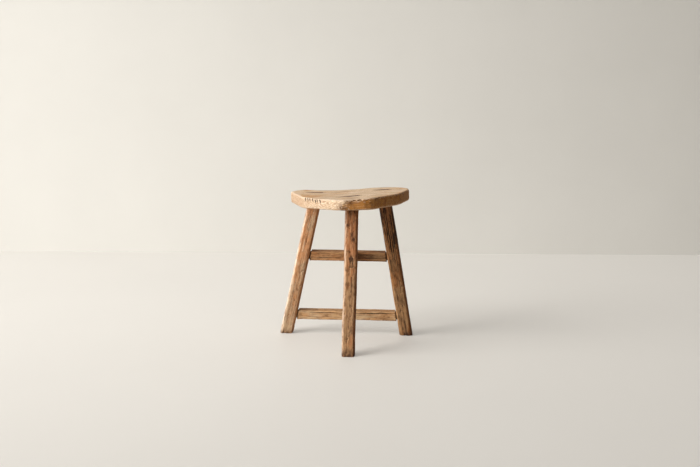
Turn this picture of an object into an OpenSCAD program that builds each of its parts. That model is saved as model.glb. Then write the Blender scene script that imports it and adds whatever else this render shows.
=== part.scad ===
// Three-legged milking stool. A thick seat slab stands on three splayed legs, held by wedged through
// tenons. Two stretchers join the back legs, and a third runs from the upper one to the front leg.
// The origin is on the floor, under the middle of the stool: +X is the right side and -Y is the front.

/* [Seat] */
// Width of the seat, left to right
seat_w = 366; // [350:1:390]
// Depth of the seat, front to back
seat_d = 295; // [285:1:310]
// Thickness of the seat slab
seat_t = 35; // [30:1:40]
// Height of the seat's top above the floor, at the middle
seat_h = 460; // [430:1:490]
// Slope of the seat in degrees, right side up
seat_tilt = 2.7; // [0:0.1:3]
// Depth of the worn hollow in the seat's top
dish_depth = 4; // [1:0.5:7]
// Width of the worn hollow
dish_w = 210; // [180:5:250]
// How far the back edge curves in at its middle
back_hollow = 6; // [2:1:12]

/* [Legs] */
// Width of the square front leg
front_leg_w = 39; // [38:0.5:44]
// Width of the square left leg
left_leg_w = 39.5; // [38:0.5:44]
// Width of the square right leg
right_leg_w = 40; // [37:0.5:44]
// How much of each face of a leg the chamfer takes at each of its two corners
leg_chamfer = 5.5; // [4:0.5:9]
// Distance from the middle of the stool to each back foot, sideways
back_foot_x = 190; // [180:1:200]
// Distance behind the origin of both back feet
back_foot_y = 125; // [115:1:135]
// How far forward the back legs lean from foot to seat
back_rake = 48; // [30:1:60]
// How far inward the left leg leans from foot to seat
left_splay = 98; // [85:1:105]
// How far inward the right leg leans from foot to seat
right_splay = 79; // [70:1:90]
// Place of the front foot, sideways
front_foot_x = 17.5; // [5:0.5:25]
// Distance in front of the origin of the front foot
front_foot_y = 134; // [125:1:140]
// How far back the front leg leans from foot to seat
front_rake = 94; // [80:1:100]
// How far to the right the front leg leans from foot to seat
front_splay = 4; // [0:1:8]

/* [Stretchers] */
// Height of the stretchers' section
rail_h = 29; // [27:0.5:33]
// Thickness of the stretchers' section
rail_t = 28; // [26:0.5:30]
// Height of the lower stretcher's underside above the floor
lower_rail_z = 48; // [35:1:80]
// Height of the upper stretcher's underside above the floor
upper_rail_z = 241; // [220:1:260]
// Slope of the centre stretcher in degrees, higher at the front
centre_slope = 4; // [2:0.5:5]

/* [Joinery] */
// Long side of the leg tenons, along the grain of the seat
leg_tenon_l = 36; // [30:1:36]
// Short side of the leg tenons
leg_tenon_w = 16; // [12:1:20]
// Height of the back stretchers' tenons
rail_tenon_h = 23; // [20:1:25]
// Thickness of the stretchers' tenons
rail_tenon_t = 14; // [12:1:16]
// Width of the centre stretcher's front tenon, which is as high as the stretcher
centre_tenon_w = 16; // [14:1:18]
// Height of the centre stretcher's back tenon
centre_tenon_h = 18; // [14:1:20]
// Open gap between a stretcher's shoulder and its leg
shoulder_gap = 3; // [1:0.5:3]
// Depth of the wedges in the leg tenons
leg_wedge_l = 26; // [20:1:28]
// Depth of the wedges in the stretchers' tenons
rail_wedge_l = 20; // [14:1:24]

/* [Hidden] */

SEAT_WOOD = [0.83, 0.70, 0.54];
LEG_WOOD = [0.64, 0.47, 0.32];
RAIL_WOOD = [0.60, 0.45, 0.32];
WEDGE_WOOD = [0.42, 0.29, 0.19];

// A cutting block reaches past the whole stool.
REACH = 700;

// The seat is wider on the right of the origin, and its blunt front corner lies further right still.
seat_x = 7;
seat_back = 155;
seat_front = seat_back - seat_d;
back_left_r = 46;
back_right_r = 78;
side_r = 70;
front_r = 48;
side_y = -6;
left_side_x = 76;
right_side_x = 91;
front_corner_x = 34;
front_corner_w = 44;
top_edge_r = 4;
under_edge_r = 6;
EDGE_STEP = 22.5;

// Each entry is the x, y and radius of a round corner that the seat's outline wraps.
SEAT_ROUNDS = [
    [seat_x - seat_w / 2 + back_left_r, seat_back - back_left_r, back_left_r],
    [seat_x + seat_w / 2 - back_right_r, seat_back - back_right_r, back_right_r],
    [seat_x - left_side_x, side_y, side_r],
    [seat_x + right_side_x, side_y, side_r],
    [front_corner_x - front_corner_w / 2, seat_front + front_r, front_r],
    [front_corner_x + front_corner_w / 2, seat_front + front_r, front_r],
];

// A shallow arc is cut by a cylinder of this radius, from the arc's chord and depth.
function arc_radius(chord, depth) = (chord * chord / 4 + depth * depth) / (2 * depth);

dish_x = -30;
dish_r = arc_radius(dish_w, dish_depth);
// The back edge's hollow starts this far inside the ends of the edge's straight part.
HOLLOW_INSET = 8;
hollow_w = seat_w - back_left_r - back_right_r - 2 * HOLLOW_INSET;
hollow_x = seat_x + (back_left_r - back_right_r) / 2;
hollow_r = arc_radius(hollow_w, back_hollow);

// The back legs stand in one raked plane. Heights in that plane are measured along it.
back_angle = atan(back_rake / seat_h);
back_plane_h = seat_h / cos(back_angle);
left_lean = atan(left_splay / back_plane_h);
right_lean = atan(right_splay / back_plane_h);
left_leg_l = back_plane_h / cos(left_lean);
right_leg_l = back_plane_h / cos(right_lean);
lower_rail_v = lower_rail_z / cos(back_angle) + rail_h / 2;
upper_rail_v = upper_rail_z / cos(back_angle) + rail_h / 2;

front_angle = -atan(front_rake / seat_h);
front_plane_h = seat_h / cos(front_angle);
front_lean = atan(front_splay / front_plane_h);
front_leg_l = front_plane_h / cos(front_lean);

// The seat's slope raises or lowers the top of each leg, and its wedge with it.
function slope_rise(x) = x * tan(seat_tilt);
left_wedge_top = left_leg_l + slope_rise(left_splay - back_foot_x);
right_wedge_top = right_leg_l + slope_rise(back_foot_x - right_splay);
front_wedge_top = front_leg_l + slope_rise(front_foot_x + front_splay);

// The centre stretcher meets the middle of the upper stretcher behind the front leg.
centre_x = front_foot_x + front_splay * upper_rail_z / seat_h;
centre_y = back_foot_y - upper_rail_v * sin(back_angle);
centre_z = upper_rail_v * cos(back_angle);

// A wedge is this thick at its tip, and thickens by the taper over each millimetre of its length.
WEDGE_TIP = 1;
LEG_WEDGE_TAPER = 0.1;
RAIL_WEDGE_TAPER = 0.08;
// Tenons and wedges are made this much too long, and then cut flush.
SPARE = 15;

// ---- Frames that the pieces are built in ----

// The seat's top plane is z = 0 here.
module seat_frame() {
    translate([0, 0, seat_h])
        rotate([0, -seat_tilt, 0])
            children();
}

// The plane of the two back legs: x runs sideways, z up along the plane, y out of its back.
module back_frame() {
    translate([0, back_foot_y, 0])
        rotate([back_angle, 0, 0])
            children();
}

// In each leg's frame, z runs up its axis from the middle of its foot.
module left_leg_frame() {
    back_frame()
        translate([-back_foot_x, 0, 0])
            rotate([0, left_lean, 0])
                children();
}

module right_leg_frame() {
    back_frame()
        translate([back_foot_x, 0, 0])
            rotate([0, -right_lean, 0])
                children();
}

module front_leg_frame() {
    translate([front_foot_x, -front_foot_y, 0])
        rotate([front_angle, 0, 0])
            rotate([0, front_lean, 0])
                children();
}

// The centre stretcher runs along y, from y = 0 in the middle of the upper stretcher to the front.
module centre_frame() {
    translate([centre_x, centre_y, centre_z])
        rotate([-centre_slope, 0, 0])
            children();
}

// ---- Cutting blocks ----

// Everything above z = 0.
module above() {
    translate([-REACH, -REACH, 0])
        cube(2 * REACH);
}

// Everything past the face of a square bar whose outward direction is +1 or -1 along x or y.
module past_x(side, distance) {
    translate([side * distance, 0, 0])
        rotate([0, side * 90, 0])
            above();
}

module past_y(side, distance) {
    translate([0, side * distance, 0])
        rotate([-side * 90, 0, 0])
            above();
}

// The worn hollow in the seat's top.
module dish() {
    seat_frame()
        translate([dish_x, 0, dish_r - dish_depth])
            rotate([90, 0, 0])
                cylinder(r = dish_r, h = REACH, center = true, $fn = 720);
}

module above_seat_top() {
    seat_frame()
        above();
    dish();
}

module above_seat_underside() {
    seat_frame()
        translate([0, 0, -seat_t])
            above();
}

module below_floor() {
    mirror([0, 0, 1])
        above();
}

// ---- Shapes that repeat ----

// A disc with rounded edges, hanging below z = 0.
module rounded_disc(radius) {
    rotate_extrude($fn = 48)
        polygon(concat(
            [[0, -seat_t]],
            [for (a = [-90 : EDGE_STEP : 0])
                [radius - under_edge_r + under_edge_r * cos(a), -seat_t + under_edge_r + under_edge_r * sin(a)]],
            [for (a = [0 : EDGE_STEP : 90])
                [radius - top_edge_r + top_edge_r * cos(a), -top_edge_r + top_edge_r * sin(a)]],
            [[0, 0]]));
}

// A square bar with chamfered corners, centred on z.
module chamfered_bar(width, low, high) {
    half = width / 2;
    flat = half - leg_chamfer;
    translate([0, 0, low])
        linear_extrude(high - low)
            polygon([[flat, -half], [half, -flat], [half, flat], [flat, half],
                     [-flat, half], [-half, flat], [-half, -flat], [-flat, -half]]);
}

module leg_tenon(leg_l) {
    translate([-leg_tenon_l / 2, -leg_tenon_w / 2, leg_l - 2 * seat_t])
        cube([leg_tenon_l, leg_tenon_w, 2 * seat_t + SPARE]);
}

// A wedge with its tip at the origin. Its length runs up z and its width across x, and it thickens in y.
module wedge(length, width, taper) {
    tip = WEDGE_TIP / 2;
    end = tip + taper * length / 2;
    rotate([90, 0, 90])
        linear_extrude(width, center = true)
            polygon([[-tip, 0], [tip, 0], [end, length], [-end, length]]);
}

// The wedge of a leg's tenon, before its top is cut flush. It points down the leg's axis.
module leg_wedge_blank(wedge_top, width) {
    translate([0, 0, wedge_top - leg_wedge_l])
        wedge(leg_wedge_l + SPARE, width, LEG_WEDGE_TAPER);
}

// The slot that the wedge fills. It is wider than the tenon, so it runs out at both sides.
module leg_kerf(wedge_top) {
    leg_wedge_blank(wedge_top, leg_tenon_l + SPARE);
}

// A whole leg in its own frame, before its ends and mortises are cut.
module leg_blank(leg_l, width) {
    chamfered_bar(width, -width, leg_l + SPARE);
}

// ---- The back stretchers, in the frame of the back legs ----

// The slot for a wedge is wider than the tenon, so it runs out at both sides.
kerf_w = rail_tenon_t + SPARE;

// Distance from the middle to a back leg's axis, at a height in the back legs' plane.
function left_axis_x(v) = back_foot_x - v * tan(left_lean);
function right_axis_x(v) = back_foot_x - v * tan(right_lean);

module rail_tenon(v) {
    back_frame()
        translate([-REACH / 2, -rail_tenon_t / 2, v - rail_tenon_h / 2])
            cube([REACH, rail_tenon_t, rail_tenon_h]);
}

// The stretcher's full section, with its ends parallel to the legs' inner faces.
module rail_body(v) {
    low = v - rail_h / 2;
    high = v + rail_h / 2;
    left_in = left_leg_w / 2 / cos(left_lean) + shoulder_gap;
    right_in = right_leg_w / 2 / cos(right_lean) + shoulder_gap;
    back_frame()
        rotate([90, 0, 0])
            linear_extrude(rail_t, center = true)
                polygon([[left_in - left_axis_x(low), low], [right_axis_x(low) - right_in, low],
                         [right_axis_x(high) - right_in, high], [left_in - left_axis_x(high), high]]);
}

// A stretcher's wedge, before it is cut flush. Its tip points to the middle of the stool.
module left_rail_wedge_blank(v, width) {
    outside = left_axis_x(v) + left_leg_w / 2 / cos(left_lean);
    back_frame()
        translate([rail_wedge_l - outside, 0, v])
            rotate([0, -90, 0])
                rotate([0, 0, 90])
                    wedge(rail_wedge_l + SPARE, width, RAIL_WEDGE_TAPER);
}

module right_rail_wedge_blank(v, width) {
    outside = right_axis_x(v) + right_leg_w / 2 / cos(right_lean);
    back_frame()
        translate([outside - rail_wedge_l, 0, v])
            rotate([0, 90, 0])
                rotate([0, 0, 90])
                    wedge(rail_wedge_l + SPARE, width, RAIL_WEDGE_TAPER);
}

module back_stretcher(v) {
    difference() {
        union() {
            rail_body(v);
            rail_tenon(v);
        }
        left_leg_frame()
            past_x(-1, left_leg_w / 2);
        right_leg_frame()
            past_x(1, right_leg_w / 2);
        left_rail_wedge_blank(v, kerf_w);
        right_rail_wedge_blank(v, kerf_w);
    }
}

module left_rail_wedge(v) {
    color(WEDGE_WOOD)
        difference() {
            left_rail_wedge_blank(v, rail_tenon_t);
            left_leg_frame()
                past_x(-1, left_leg_w / 2);
        }
}

module right_rail_wedge(v) {
    color(WEDGE_WOOD)
        difference() {
            right_rail_wedge_blank(v, rail_tenon_t);
            right_leg_frame()
                past_x(1, right_leg_w / 2);
        }
}

// ---- The centre stretcher, in its own frame ----

centre_l = centre_y + front_foot_y;

// The front tenon is as high as the stretcher, and the back one is smaller all round.
module centre_front_tenon() {
    centre_frame()
        translate([-centre_tenon_w / 2, -centre_l, -rail_h / 2])
            cube([centre_tenon_w, centre_l / 2, rail_h]);
}

module centre_back_tenon() {
    centre_frame()
        translate([-rail_tenon_t / 2, -rail_t, -centre_tenon_h / 2])
            cube([rail_tenon_t, rail_t + SPARE + rail_t / 2, centre_tenon_h]);
}

module centre_body() {
    difference() {
        centre_frame()
            translate([-rail_t / 2, -centre_l, -rail_h / 2])
                cube([rail_t, centre_l, rail_h]);
        front_leg_frame()
            past_y(-1, -front_leg_w / 2 - shoulder_gap / 2);
        back_frame()
            past_y(1, -rail_t / 2);
    }
}

// Distance along the centre stretcher from its frame's origin to the front leg's front face.
centre_out = centre_l - centre_z * tan(-front_angle) + front_leg_w / 2;

module centre_front_wedge_blank(width) {
    centre_frame()
        translate([0, rail_wedge_l - centre_out, 0])
            rotate([90, 0, 0])
                wedge(rail_wedge_l + SPARE, width, RAIL_WEDGE_TAPER);
}

module centre_back_wedge_blank(width) {
    centre_frame()
        translate([0, rail_t / 2 - rail_wedge_l, 0])
            rotate([-90, 0, 0])
                wedge(rail_wedge_l + SPARE, width, RAIL_WEDGE_TAPER);
}

// ---- The pieces ----

module seat() {
    color(SEAT_WOOD)
        difference() {
            seat_frame()
                difference() {
                    hull()
                        for (round = SEAT_ROUNDS)
                            translate([round[0], round[1], 0])
                                rounded_disc(round[2]);
                    translate([hollow_x, seat_back + hollow_r - back_hollow, 0])
                        cylinder(r = hollow_r, h = 3 * seat_t, center = true, $fn = 360);
                }
            dish();
            front_leg_frame()
                leg_tenon(front_leg_l);
            left_leg_frame()
                leg_tenon(left_leg_l);
            right_leg_frame()
                leg_tenon(right_leg_l);
        }
}

module front_leg() {
    color(LEG_WOOD)
        difference() {
            front_leg_frame()
                leg_blank(front_leg_l, front_leg_w);
            difference() {
                above_seat_underside();
                front_leg_frame()
                    leg_tenon(front_leg_l);
            }
            above_seat_top();
            below_floor();
            centre_front_tenon();
            front_leg_frame()
                leg_kerf(front_wedge_top);
        }
}

module left_leg() {
    color(LEG_WOOD)
        difference() {
            left_leg_frame()
                leg_blank(left_leg_l, left_leg_w);
            difference() {
                above_seat_underside();
                left_leg_frame()
                    leg_tenon(left_leg_l);
            }
            above_seat_top();
            below_floor();
            rail_tenon(lower_rail_v);
            rail_tenon(upper_rail_v);
            left_leg_frame()
                leg_kerf(left_wedge_top);
        }
}

module right_leg() {
    color(LEG_WOOD)
        difference() {
            right_leg_frame()
                leg_blank(right_leg_l, right_leg_w);
            difference() {
                above_seat_underside();
                right_leg_frame()
                    leg_tenon(right_leg_l);
            }
            above_seat_top();
            below_floor();
            rail_tenon(lower_rail_v);
            rail_tenon(upper_rail_v);
            right_leg_frame()
                leg_kerf(right_wedge_top);
        }
}

module upper_stretcher() {
    color(RAIL_WOOD)
        difference() {
            back_stretcher(upper_rail_v);
            centre_back_tenon();
        }
}

module lower_stretcher() {
    color(RAIL_WOOD)
        back_stretcher(lower_rail_v);
}

module centre_stretcher() {
    color(RAIL_WOOD)
        difference() {
            union() {
                centre_body();
                centre_front_tenon();
                centre_back_tenon();
            }
            front_leg_frame()
                past_y(-1, front_leg_w / 2);
            back_frame()
                past_y(1, rail_t / 2);
            centre_front_wedge_blank(kerf_w);
            centre_back_wedge_blank(kerf_w);
        }
}

module front_leg_wedge() {
    color(WEDGE_WOOD)
        difference() {
            front_leg_frame()
                leg_wedge_blank(front_wedge_top, leg_tenon_l);
            above_seat_top();
        }
}

module left_leg_wedge() {
    color(WEDGE_WOOD)
        difference() {
            left_leg_frame()
                leg_wedge_blank(left_wedge_top, leg_tenon_l);
            above_seat_top();
        }
}

module right_leg_wedge() {
    color(WEDGE_WOOD)
        difference() {
            right_leg_frame()
                leg_wedge_blank(right_wedge_top, leg_tenon_l);
            above_seat_top();
        }
}

module centre_front_wedge() {
    color(WEDGE_WOOD)
        difference() {
            centre_front_wedge_blank(centre_tenon_w);
            front_leg_frame()
                past_y(-1, front_leg_w / 2);
        }
}

module centre_back_wedge() {
    color(WEDGE_WOOD)
        difference() {
            centre_back_wedge_blank(rail_tenon_t);
            back_frame()
                past_y(1, rail_t / 2);
        }
}

seat();
front_leg();
left_leg();
right_leg();
upper_stretcher();
lower_stretcher();
centre_stretcher();
front_leg_wedge();
left_leg_wedge();
right_leg_wedge();
left_rail_wedge(upper_rail_v);  // upper_left_wedge
right_rail_wedge(upper_rail_v);  // upper_right_wedge
left_rail_wedge(lower_rail_v);  // lower_left_wedge
right_rail_wedge(lower_rail_v);  // lower_right_wedge
centre_front_wedge();
centre_back_wedge();
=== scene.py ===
import itertools
import math

import bmesh
import bpy
import numpy as np
from mathutils import Matrix, Vector
from mathutils.bvhtree import BVHTree


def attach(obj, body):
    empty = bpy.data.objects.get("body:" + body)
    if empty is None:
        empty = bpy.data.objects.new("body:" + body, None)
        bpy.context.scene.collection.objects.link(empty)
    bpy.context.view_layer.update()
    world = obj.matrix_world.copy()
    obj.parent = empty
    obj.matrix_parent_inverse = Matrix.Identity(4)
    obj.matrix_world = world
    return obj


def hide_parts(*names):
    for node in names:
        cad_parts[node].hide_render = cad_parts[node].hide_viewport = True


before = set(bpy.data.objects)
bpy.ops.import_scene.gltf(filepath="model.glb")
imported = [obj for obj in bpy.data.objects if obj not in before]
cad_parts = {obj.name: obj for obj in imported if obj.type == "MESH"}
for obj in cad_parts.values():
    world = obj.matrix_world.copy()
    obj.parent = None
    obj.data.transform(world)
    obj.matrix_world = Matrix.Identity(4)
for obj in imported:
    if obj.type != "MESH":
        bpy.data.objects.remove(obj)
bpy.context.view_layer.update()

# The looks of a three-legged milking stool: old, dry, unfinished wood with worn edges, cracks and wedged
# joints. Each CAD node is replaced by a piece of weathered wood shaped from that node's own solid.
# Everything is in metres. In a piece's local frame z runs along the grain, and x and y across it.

MM = 0.001

# The sides of a bar in its local frame, named as they lie in the legs. In the back stretchers the side named
# LEFT is the one that faces the front.
FRONT, RIGHT, BACK, LEFT = (0, -1), (1, 0), (0, 1), (-1, 0)

BACK_LEGS = ("left_leg", "right_leg")
LEGS = ("front_leg",) + BACK_LEGS
BACK_RAILS = ("upper_stretcher", "lower_stretcher")
WEDGE_OF = {"front_leg": ["front_leg_wedge"], "left_leg": ["left_leg_wedge"],
            "right_leg": ["right_leg_wedge"],
            "upper_stretcher": ["upper_left_wedge", "upper_right_wedge"],
            "lower_stretcher": ["lower_left_wedge", "lower_right_wedge"],
            "centre_stretcher": ["centre_front_wedge", "centre_back_wedge"]}
# What passes through each piece.
THROUGH = {"seat": list(LEGS), "front_leg": ["centre_stretcher"],
           "left_leg": list(BACK_RAILS), "right_leg": list(BACK_RAILS),
           "upper_stretcher": ["centre_stretcher"]}

# ---- Camera, light, floor and wall ----

CAMERA_PLACE = Vector((0.1341, -2.884, 0.781))
CAMERA_LENS_MM = 50
CAMERA_SENSOR_MM = 36
CAMERA_TURN = math.radians(2.39)
CAMERA_PITCH = math.radians(8.69)
CAMERA_ROLL = math.radians(0.55)

FLOOR_SIZE = 14
WALL_DISTANCE = 1.62
WALL_HEIGHT = 4
WALL_TURN = math.radians(3.6)

DAYLIGHT = (1.0, 0.985, 0.955)
SKYLIGHT = (1.0, 0.99, 0.97)


def srgb(red, green, blue):
    """Linear colour from 0-255 screen values."""
    screen = [c / 255 for c in (red, green, blue)]
    return tuple(c / 12.92 if c <= 0.04045 else ((c + 0.055) / 1.055) ** 2.4 for c in screen)


def add_camera():
    data = bpy.data.cameras.new("camera")
    data.lens = CAMERA_LENS_MM
    data.sensor_width = CAMERA_SENSOR_MM
    camera = bpy.data.objects.new("camera", data)
    turn = (Matrix.Rotation(CAMERA_TURN, 4, "Z")
            @ Matrix.Rotation(math.pi / 2 - CAMERA_PITCH, 4, "X")
            @ Matrix.Rotation(CAMERA_ROLL, 4, "Z"))
    camera.matrix_world = Matrix.Translation(CAMERA_PLACE) @ turn
    bpy.context.scene.collection.objects.link(camera)
    bpy.context.scene.camera = camera


def plain_material(name, colour, roughness, mottle, mottle_scale, glow=0.0):
    """A matt surface whose brightness drifts a little. Its own faint glow keeps the shadows on it light."""
    material = bpy.data.materials.new(name)
    material.use_nodes = True
    nodes = material.node_tree.nodes
    links = material.node_tree.links
    shader = nodes["Principled BSDF"]
    shader.inputs["Roughness"].default_value = roughness
    shader.inputs["Specular IOR Level"].default_value = 0.3
    shader.inputs["Emission Color"].default_value = (*colour, 1)
    shader.inputs["Emission Strength"].default_value = glow
    where = nodes.new("ShaderNodeTexCoord")
    noise = nodes.new("ShaderNodeTexNoise")
    noise.inputs["Scale"].default_value = mottle_scale
    noise.inputs["Detail"].default_value = 4
    ramp = nodes.new("ShaderNodeValToRGB")
    ramp.color_ramp.elements[0].position = 0.3
    ramp.color_ramp.elements[1].position = 0.7
    ramp.color_ramp.elements[0].color = (*[c * (1 - mottle) for c in colour], 1)
    ramp.color_ramp.elements[1].color = (*colour, 1)
    links.new(where.outputs["Object"], noise.inputs["Vector"])
    links.new(noise.outputs["Fac"], ramp.inputs["Fac"])
    links.new(ramp.outputs["Color"], shader.inputs["Base Color"])
    return material


def add_stage():
    """A pale floor, and a wall behind the stool that is turned a little."""
    half = FLOOR_SIZE / 2
    for name, corners, material in (
        ("floor", [(-half, -half, 0), (half, -half, 0), (half, half, 0), (-half, half, 0)],
         plain_material("floor_paint", srgb(183, 180, 175), 0.55, 0.03, 1.5, glow=0.48)),
        ("wall", [(-half, 0, 0), (half, 0, 0), (half, 0, WALL_HEIGHT), (-half, 0, WALL_HEIGHT)],
         plain_material("wall_plaster", srgb(210, 208, 203), 0.8, 0.03, 2.5)),
    ):
        mesh = bpy.data.meshes.new(name)
        mesh.from_pydata(corners, [], [(0, 1, 2, 3)])
        mesh.materials.append(material)
        thing = bpy.data.objects.new(name, mesh)
        if name == "wall":
            thing.location = (0, WALL_DISTANCE, 0)
            thing.rotation_euler = (0, 0, WALL_TURN)
        bpy.context.scene.collection.objects.link(thing)


def add_area_light(name, place, target, size, power, colour, spread):
    """A square light that shines from its place towards the target. Its spread is in degrees."""
    data = bpy.data.lights.new(name, "AREA")
    data.shape = "RECTANGLE"
    data.size = size
    data.size_y = size
    data.energy = power
    data.color = colour
    data.spread = math.radians(spread)
    light = bpy.data.objects.new(name, data)
    light.location = place
    light.rotation_euler = (Vector(target) - Vector(place)).to_track_quat("-Z", "Y").to_euler()
    light.visible_camera = False
    bpy.context.scene.collection.objects.link(light)


def add_lights():
    """A wide, soft light from the far left, a nearer one that makes the left side brighter, and a weak one
    from above. The rest is what the floor and the wall throw back, and the floor's own faint glow."""
    sun = bpy.data.lights.new("far_window", "SUN")
    sun.angle = math.radians(75)
    sun.energy = 1.0
    sun.color = DAYLIGHT
    far = bpy.data.objects.new("far_window", sun)
    far.rotation_euler = Vector((0.9, 0.36, -0.62)).to_track_quat("-Z", "Y").to_euler()
    bpy.context.scene.collection.objects.link(far)
    add_area_light("near_window", (-4.5, -2.0, 2.4), (-1.0, 0.6, 0.2), 3.6, 107, DAYLIGHT, 80)
    add_area_light("skylight", (-0.8, -0.6, 3.4), (-0.4, 0, 0), 4.0, 24, SKYLIGHT, 150)
    world = bpy.data.worlds.new("room")
    world.use_nodes = True
    nodes = world.node_tree.nodes
    links = world.node_tree.links
    glow = nodes["Background"]
    glow.inputs["Color"].default_value = (*srgb(236, 220, 198), 1)
    glow.inputs["Strength"].default_value = 0.12
    # Past the edge of the floor the room looks pale, but it gives little light.
    seen = nodes.new("ShaderNodeBackground")
    seen.inputs["Color"].default_value = (*srgb(226, 222, 213), 1)
    chosen = nodes.new("ShaderNodeMixShader")
    rays = nodes.new("ShaderNodeLightPath")
    links.new(rays.outputs["Is Camera Ray"], chosen.inputs["Fac"])
    links.new(glow.outputs["Background"], chosen.inputs[1])
    links.new(seen.outputs["Background"], chosen.inputs[2])
    links.new(chosen.outputs["Shader"], nodes["World Output"].inputs["Surface"])
    bpy.context.scene.world = world


add_camera()
add_stage()
add_lights()
bpy.context.scene.view_settings.view_transform = "Standard"

# ---- Noise ----


# Large odd numbers that scramble a lattice point's place, and the bits that are kept of the result.
AXIS_MIXERS = [np.uint64(number) for number in (0x9E3779B97F4A7C15, 0xC2B2AE3D27D4EB4F, 0x165667B19E3779F9)]
LAST_MIXER = np.uint64(0xD6E8FEB86659FD93)
KEPT_BITS = 0xFFFFFF


def lattice_random(cells, seed):
    """Repeatable random numbers from -1 to 1, one for each whole-number lattice point."""
    mixed = sum(cells[:, i].astype(np.uint64) * AXIS_MIXERS[i] for i in range(3))
    mixed += np.uint64(seed * 7919 + 17)
    mixed ^= mixed >> np.uint64(31)
    mixed *= LAST_MIXER
    mixed ^= mixed >> np.uint64(32)
    return (mixed & np.uint64(KEPT_BITS)).astype(float) / (KEPT_BITS // 2) - 1


def noise(points, seed):
    """Gradient noise from about -1 to 1, whose features are about one unit across."""
    cells = np.floor(points).astype(np.int64)
    inside = points - cells
    fade = inside ** 3 * (inside * (inside * 6 - 15) + 10)
    total = np.zeros(len(points))
    for corner in itertools.product((0, 1), repeat=3):
        at = cells + corner
        weight = np.prod(np.where(corner, fade, 1 - fade), axis=1)
        slope = sum(lattice_random(at, 3 * seed + i) * (inside[:, i] - corner[i]) for i in range(3))
        total += weight * slope
    return total * 1.3


def grain_noise(co, across, along, seed, layers=2):
    """Noise with features of the given size across and along the grain, and finer layers on top."""
    points = co / np.array([across, across, along])
    return sum(noise(points * 2 ** i, seed + 31 * i) / 2 ** i for i in range(layers))


def smooth_step(low, high, value):
    t = np.clip((value - low) / (high - low), 0, 1)
    return t * t * (3 - 2 * t)


# ---- Meshes as arrays ----


def vertices(mesh):
    co = np.empty(len(mesh.vertices) * 3)
    mesh.vertices.foreach_get("co", co)
    return co.reshape(-1, 3)


def set_vertices(mesh, co):
    mesh.vertices.foreach_set("co", co.ravel())
    mesh.update()


def vertex_normals(mesh):
    normals = np.empty(len(mesh.vertices) * 3)
    mesh.vertex_normals.foreach_get("vector", normals)
    return normals.reshape(-1, 3)


def edge_ends(mesh):
    ends = np.empty(len(mesh.edges) * 2, np.int32)
    mesh.edges.foreach_get("vertices", ends)
    return ends.reshape(-1, 2).T


def relaxed(mesh, co, rounds, weight):
    """Vertices pulled towards their neighbours' mean, by the weight each has, over several rounds."""
    first, second = edge_ends(mesh)
    count = len(co)
    neighbours = np.bincount(first, minlength=count) + np.bincount(second, minlength=count)
    for _ in range(rounds):
        summed = [np.bincount(first, co[second, i], count) + np.bincount(second, co[first, i], count)
                  for i in range(3)]
        mean = np.stack([total / neighbours for total in summed], axis=1)
        co = co + (mean - co) * (0.5 * weight)[:, None]
    return co


# ---- Solids taken from the CAD nodes ----


def cad_bmesh(node, to_local):
    """The CAD node as one closed mesh in the local frame."""
    bm = bmesh.new()
    bm.from_mesh(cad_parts[node].data)
    bmesh.ops.remove_doubles(bm, verts=bm.verts, dist=0.002 * MM)
    bm.transform(to_local)
    bm.normal_update()
    return bm


def bar_frame(node):
    """A bar's local frame, from its faces: z along the bar, x and y square to its two main pairs of sides.
    Its origin is at the low end of the bar, in the middle of its section. The direction x is the one that
    lies nearest the world's X, or nearest its Y if neither lies near X."""
    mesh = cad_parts[node].data
    areas = {}
    for face in mesh.polygons:
        normal = face.normal * (1 if max(face.normal, key=abs) > 0 else -1)
        key = tuple(round(c, 2) for c in normal)
        total, summed = areas.get(key, (0, Vector()))
        areas[key] = (total + face.area, summed + normal * face.area)
    sides = [summed.normalized() for total, summed in sorted(areas.values(), key=lambda a: -a[0])[:2]]
    z = sides[0].cross(sides[1]).normalized()
    z *= 1 if max(z, key=abs) > 0 else -1
    x = max(sides, key=lambda side: abs(side.x - side.y * 0.1))
    y = z.cross(x).normalized()
    x = y.cross(z)
    turn = Matrix((x, y, z)).transposed()
    local = vertices(mesh) @ np.array(turn)
    middle = (local.min(0) + local.max(0)) / 2
    middle[2] = local[:, 2].min()
    return Matrix.Translation(turn @ Vector(middle)) @ turn.to_4x4()


def seat_frame():
    """The seat's local frame: z along the grain to the right, y up out of the seat, x to the back.
    The underside is y = 0."""
    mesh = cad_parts["seat"].data
    under = max(mesh.polygons, key=lambda face: face.area * -face.normal.z)
    y = -under.normal
    z = Vector((1, 0, 0))
    z = (z - y * z.dot(y)).normalized()
    x = y.cross(z)
    turn = Matrix((x, y, z)).transposed()
    local = vertices(mesh) @ np.array(turn)
    middle = (local.min(0) + local.max(0)) / 2
    middle[1] = (turn.transposed() @ under.center).y
    return Matrix.Translation(turn @ Vector(middle)) @ turn.to_4x4()


def hull_mesh(points):
    """The convex hull of the points."""
    bm = bmesh.new()
    for point in points:
        bm.verts.new(point)
    bmesh.ops.convex_hull(bm, input=bm.verts)
    loose = [v for v in bm.verts if not v.link_faces]
    bmesh.ops.delete(bm, geom=loose, context="VERTS")
    return bm


def local_vertices(node, to_local):
    """The CAD node's vertices in the local frame."""
    bm = cad_bmesh(node, to_local)
    co = np.array([v.co for v in bm.verts])
    bm.free()
    return co


def thin_axis(co):
    """Which of x and y the tenons' sides are set in on: the one where the end vertices reach less far."""
    from_middle = np.abs(co[:, 2] - co[:, 2].mean())
    ends = co[from_middle > 0.97 * from_middle.max()]
    return int(np.argmin(np.abs(ends[:, :2]).max(0)))


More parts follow.
